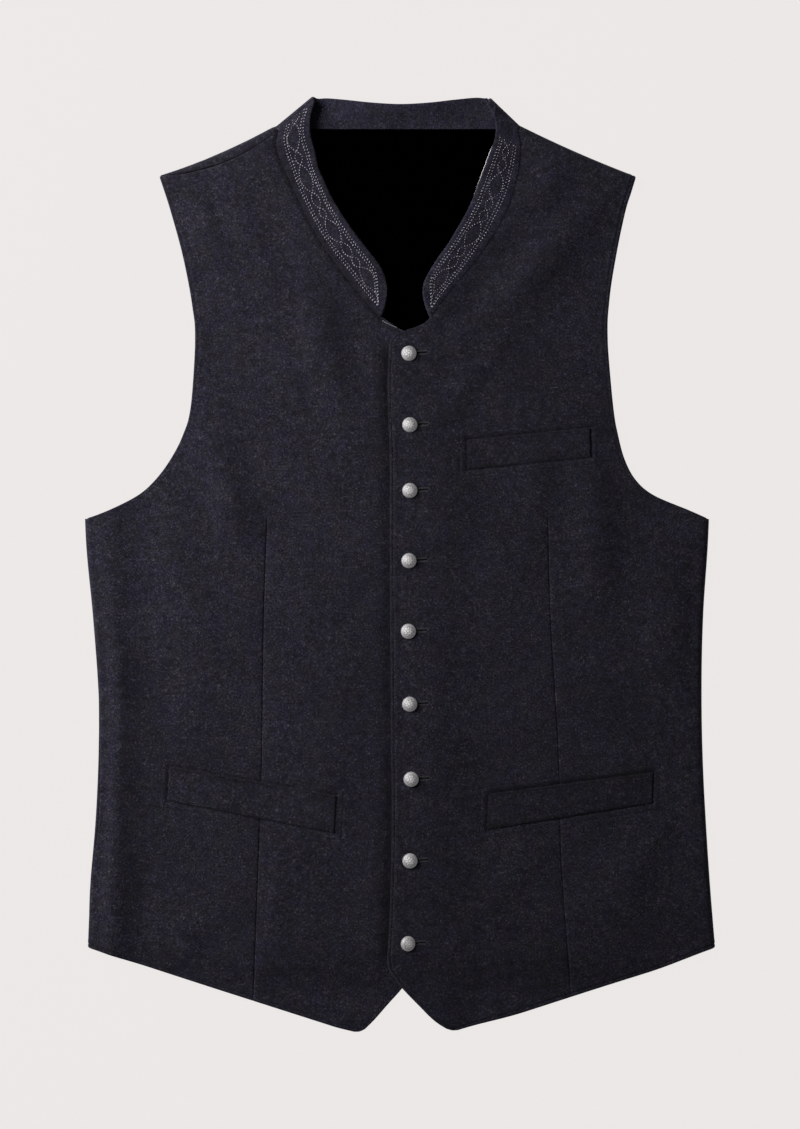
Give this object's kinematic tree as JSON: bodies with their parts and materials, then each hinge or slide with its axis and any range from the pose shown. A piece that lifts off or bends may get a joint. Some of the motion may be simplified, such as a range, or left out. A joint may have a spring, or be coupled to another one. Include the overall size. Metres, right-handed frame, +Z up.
{
  "type": "embroidered folk vest",
  "caption": "Sleeveless wool folk vest laid flat, buttoned front with domed metal buttons, pointed hem, welt pockets and an embroidered stand collar.",
  "frame": {"origin": "on the surface the vest lies on, under the centre of its bounding box", "axes": "+X towards the wearer's left, +Y from hem to shoulders, +Z up out of the surface, so the front faces +Z"},
  "size_m": [0.4906, 0.7285, 0.0156],
  "materials": {
    "wool": "dark navy-charcoal heathered wool, matt",
    "wool_collar": "the same wool, with running-stitch embroidery in silver-mauve thread on its outer face",
    "lining_black": "plain black lining",
    "button_metal": "antiqued silver-coloured metal with a shallow all-over relief"
  },
  "bodies": {
    "root": {"back_panel": "wool", "back_lining": "lining_black", "front_right": "wool", "front_left": "wool", "collar": "wool_collar", "welt_chest": "wool", "welt_right": "wool", "welt_left": "wool", "button_1": "button_metal", "button_2": "button_metal", "button_3": "button_metal", "button_4": "button_metal", "button_5": "button_metal", "button_6": "button_metal", "button_7": "button_metal", "button_8": "button_metal", "button_9": "button_metal"}
  },
  "joints": []
}
